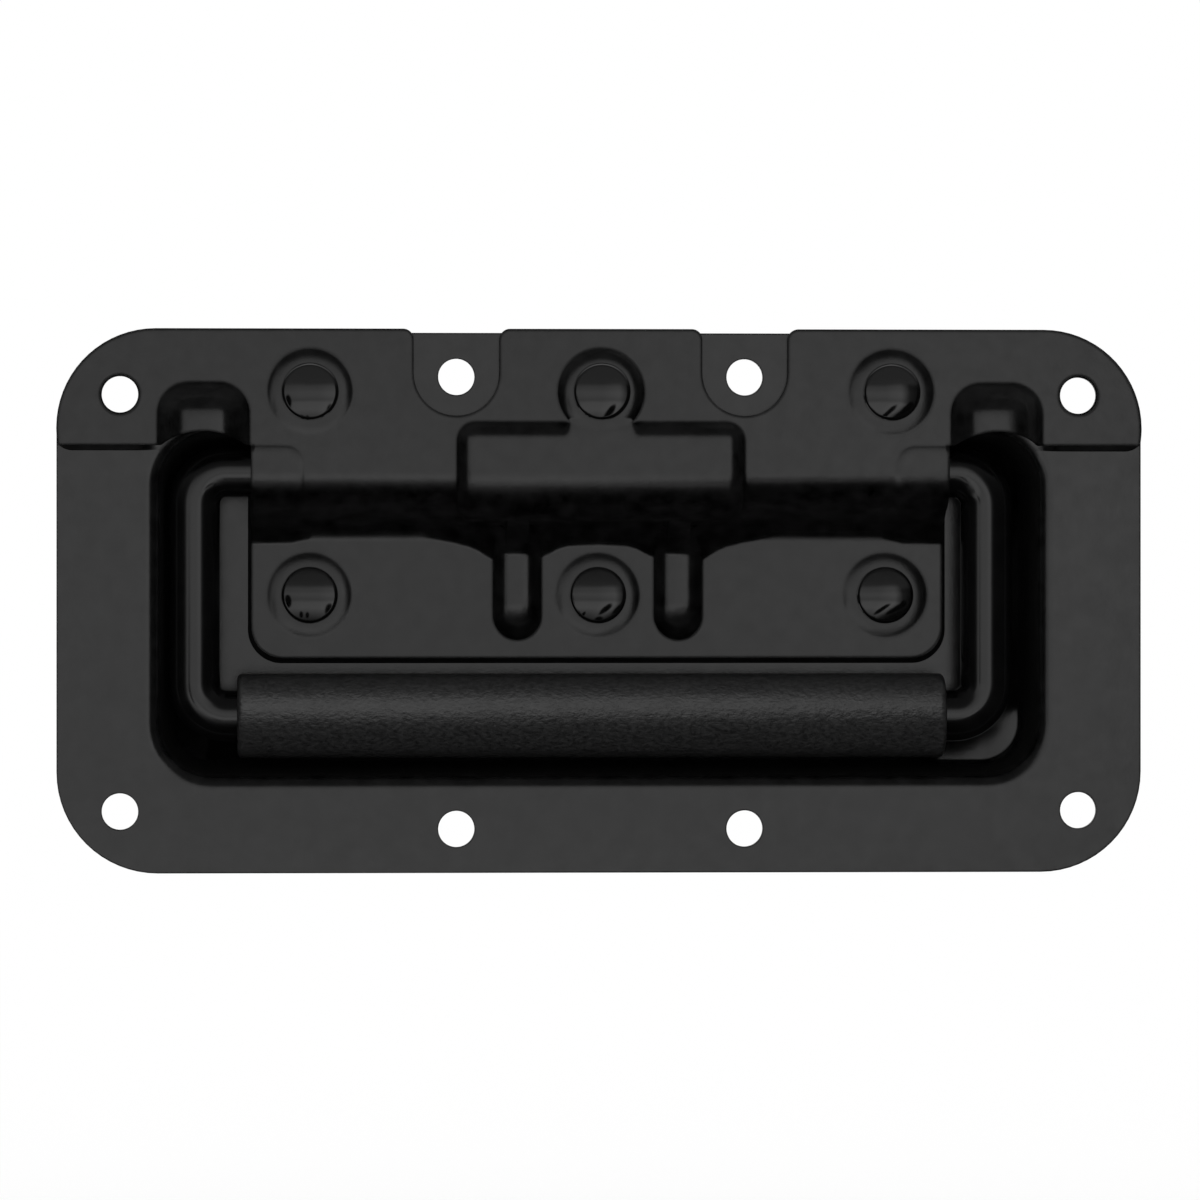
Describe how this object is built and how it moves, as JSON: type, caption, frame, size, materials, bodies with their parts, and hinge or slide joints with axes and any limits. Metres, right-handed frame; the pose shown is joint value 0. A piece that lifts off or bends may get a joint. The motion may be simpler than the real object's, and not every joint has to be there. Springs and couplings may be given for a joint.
{
  "type": "recessed pull handle",
  "caption": "Flush recessed pull handle: pressed dish with a sprung folding bail, a sleeved grip and a riveted hinge plate.",
  "frame": {"origin": "centre of the corner fixing holes, on the back face of the flange", "axes": "+X along the handle, +Y into the panel, +Z towards the hinge side"},
  "size_m": [0.167, 0.0176, 0.0836],
  "materials": {
    "coat": "satin black powder coat with a fine texture",
    "bar": "gloss black coat",
    "sleeve": "fine-grained matte black",
    "rivet": "gloss black",
    "spring": "drawn spring wire"
  },
  "bodies": {
    "mounting": {"dish": "coat", "hinge_plate": "coat", "rivets": "rivet", "spring_left": "spring", "spring_right": "spring"},
    "handle": {"bail": "bar", "grip": "sleeve"}
  },
  "joints": [
    {"name": "bail_swing", "type": "hinge", "parent": "mounting", "child": "handle", "pos_m": [0, 0.00288, 0.0202], "axis": [-1, 0, 0], "range_deg": [0, 100], "stiffness_Nm_per_rad": 0.12, "springref_deg": -91.67, "deforming": ["spring_left", "spring_right"]}
  ]
}
